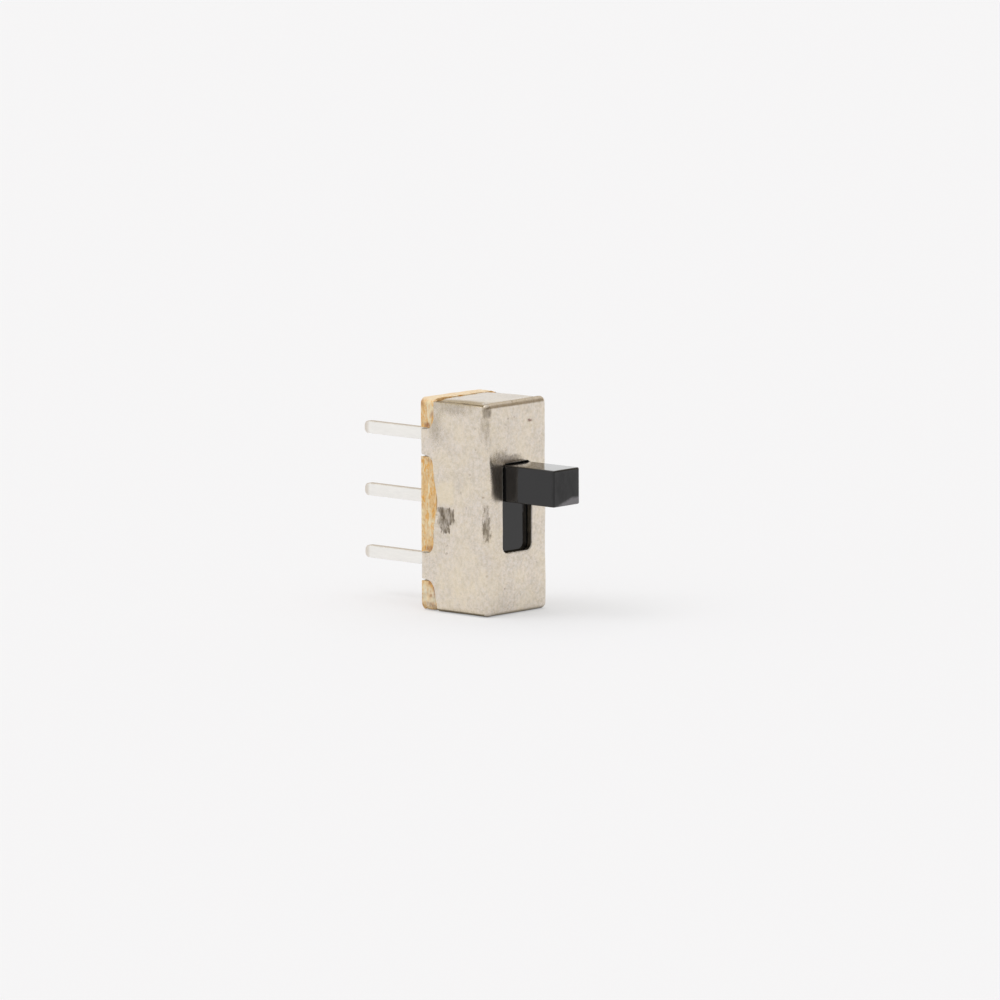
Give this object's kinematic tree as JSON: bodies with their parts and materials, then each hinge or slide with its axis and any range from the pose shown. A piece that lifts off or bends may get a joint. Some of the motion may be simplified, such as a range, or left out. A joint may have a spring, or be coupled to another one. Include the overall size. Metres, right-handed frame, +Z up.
{
  "type": "slide switch",
  "caption": "Miniature slide switch: folded steel cover on a laminate board, square handle that slides in a slot, in-line solder pins.",
  "frame": {"origin": "centre of the lower end, on which the switch stands, midway between the cover's front face and the board's back", "axes": "+Z up along the switch's length and the handle's travel, -Y out of the cover's front along the handle, +Y along the pins, X across the width"},
  "size_m": [0.0036, 0.0107, 0.0085],
  "materials": {
    "plated_steel": "dull nickel plate, fine speckle, scuffed",
    "paper_laminate": "raw punched edge, fibrous",
    "tinned_brass": "tin plated, satin",
    "black_plastic": "moulded, semi-gloss",
    "spring_bronze": "bright rolled strip"
  },
  "bodies": {
    "housing": {"cover": "plated_steel", "base_board": "paper_laminate", "terminal_lower": "tinned_brass", "terminal_middle": "tinned_brass", "terminal_upper": "tinned_brass"},
    "slider": {"slider": "black_plastic", "contact_clip": "spring_bronze"}
  },
  "joints": [
    {"name": "slider_travel", "type": "slide", "parent": "housing", "child": "slider", "axis": [0, 0, -1], "range_m": [0, 0.002]}
  ]
}
